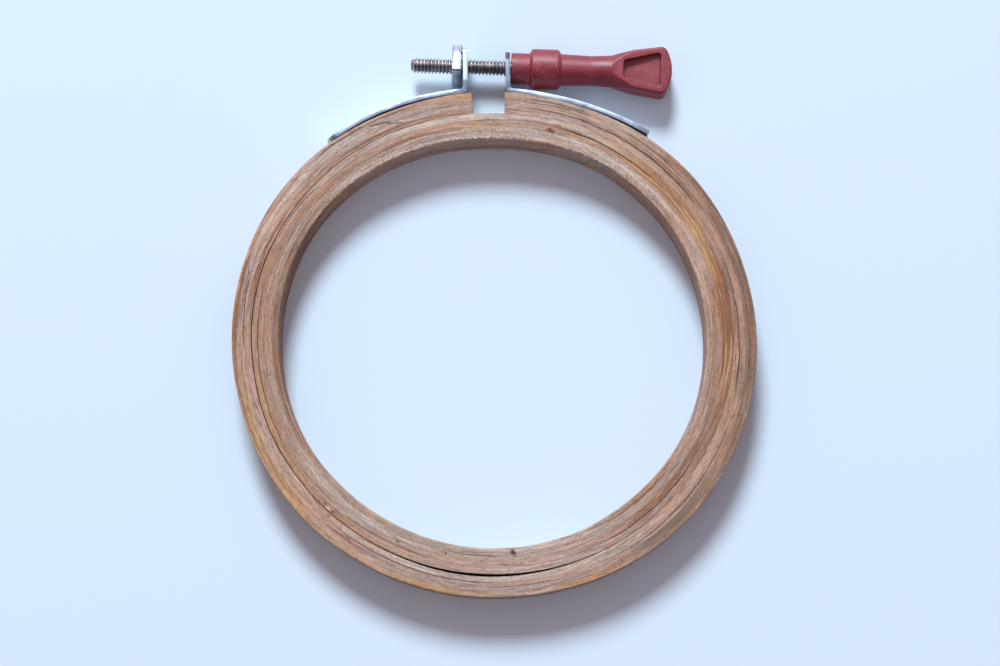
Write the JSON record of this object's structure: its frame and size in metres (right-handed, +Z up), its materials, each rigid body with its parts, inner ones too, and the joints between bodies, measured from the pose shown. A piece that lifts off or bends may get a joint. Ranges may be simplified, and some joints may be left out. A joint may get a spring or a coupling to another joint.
{
  "type": "embroidery hoop",
  "caption": "Round laminated wooden embroidery hoop: a closed inner ring in a split outer ring that a clamp screw with a moulded paddle handle tightens.",
  "frame": {"origin": "centre of the inner ring's opening, on the plane that the hoop lies on", "axes": "+Z up through the hoop, +Y from the centre to the clamp, +X along the clamp screw towards the handle"},
  "size_m": [0.1106, 0.1221, 0.0095],
  "materials": {
    "inner_ring_wood": "bare bent plies of pale pinkish wood with dark glue lines, sanded, unvarnished",
    "outer_ring_wood": "bare bent plies of pale pinkish wood with a yellower outer ply, sanded, unvarnished",
    "zinc_plated_steel": "bright zinc-plated sheet steel, slightly dull, brown where an edge is torn",
    "nail_steel": "bright wire nails, slightly dull",
    "nut_steel": "bright plated square nut",
    "screw_steel": "rolled steel thread, dull grey with brown tarnish in the roots",
    "maroon_plastic": "maroon moulded plastic, soft satin gloss"
  },
  "bodies": {
    "outer_ring": {"outer_ring_ply_1": "outer_ring_wood", "outer_ring_ply_2": "outer_ring_wood", "outer_ring_ply_3": "outer_ring_wood", "outer_ring_ply_4": "outer_ring_wood", "right_bracket": "zinc_plated_steel", "right_bracket_nails": "nail_steel"},
    "inner_ring": {"inner_ring_ply_1": "inner_ring_wood", "inner_ring_ply_2": "inner_ring_wood", "inner_ring_ply_3": "inner_ring_wood", "inner_ring_ply_4": "inner_ring_wood"},
    "screw_and_handle": {"clamp_screw": "screw_steel", "handle": "maroon_plastic"},
    "nut": {"clamp_nut": "nut_steel"},
    "left_clamp": {"left_bracket": "zinc_plated_steel", "left_bracket_nails": "nail_steel"}
  },
  "joints": [
    {"name": "screw_turn", "type": "hinge", "parent": "outer_ring", "child": "screw_and_handle", "pos_m": [0, 0.0617, 0.00475], "axis": [0.9988, -0.0489, 0], "range_deg": [-180.1, 2520.1]},
    {"name": "nut_travel", "type": "slide", "parent": "outer_ring", "child": "nut", "axis": [-0.9988, 0.0489, 0], "range_m": [-0.0004, 0.00556]},
    {"name": "ring_spread", "type": "hinge", "parent": "outer_ring", "child": "left_clamp", "pos_m": [0, -0.05345, 0.00475], "axis": [0, 0, 1], "range_deg": [-0.19, 2.68], "deforming": ["outer_ring_ply_1", "outer_ring_ply_2", "outer_ring_ply_3", "outer_ring_ply_4"]},
    {"name": "inner_ring_lift", "type": "slide", "parent": "outer_ring", "child": "inner_ring", "axis": [0, 0, 1], "range_m": [0, 0.02]}
  ],
  "couplings": [
    {"joint": "screw_turn", "follows": "nut_travel", "rad_per_m": 7915.8},
    {"joint": "ring_spread", "follows": "nut_travel", "rad_per_m": 8.4011}
  ]
}
